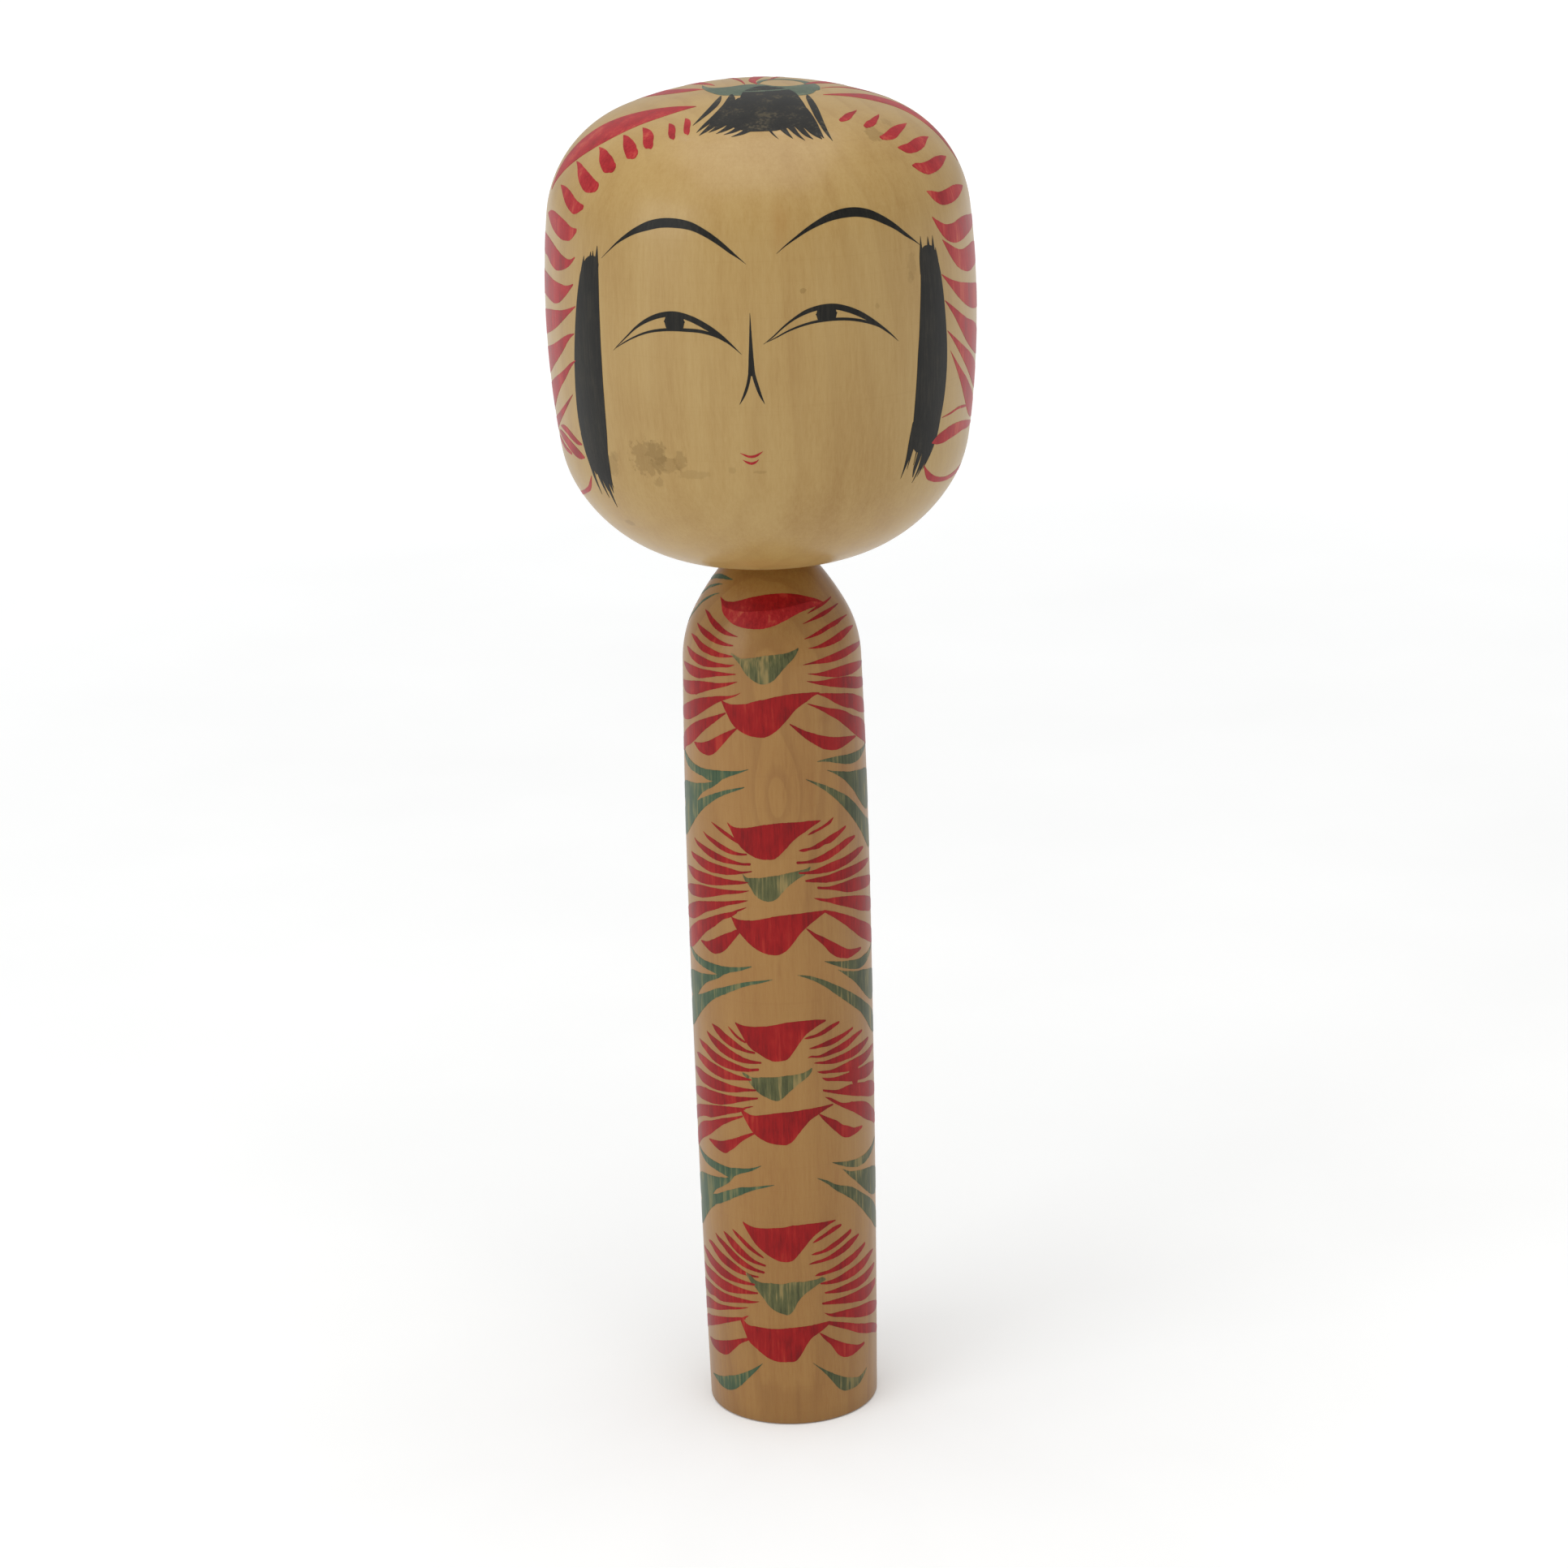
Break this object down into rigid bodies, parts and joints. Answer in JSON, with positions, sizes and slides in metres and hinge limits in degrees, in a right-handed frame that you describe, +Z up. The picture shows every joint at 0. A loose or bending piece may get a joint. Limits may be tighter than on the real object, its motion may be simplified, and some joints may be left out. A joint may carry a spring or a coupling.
{
  "type": "kokeshi doll",
  "caption": "Turned wooden doll with a slim cylindrical body and a large round head that turns on a hidden dowel; painted face, hair and stacked flowers.",
  "frame": {"origin": "centre of the flat base, on the surface the doll stands on", "axes": "+Z up along the turning axis, face towards -Y, +X to the viewer's right when facing the doll"},
  "size_m": [0.0924, 0.0922, 0.303],
  "materials": {
    "body_wood": "waxed pale hardwood with brushed dye, satin",
    "head_wood": "waxed pale hardwood with brushed dye, satin",
    "peg_wood": "bare turned hardwood"
  },
  "bodies": {
    "body": {"body": "body_wood"},
    "head": {"head": "head_wood", "neck_peg": "peg_wood"}
  },
  "joints": [
    {"name": "head_turn", "type": "hinge", "parent": "body", "child": "head", "pos_m": [0, 0, 0.2013], "axis": [0, 0, 1], "continuous": true}
  ]
}
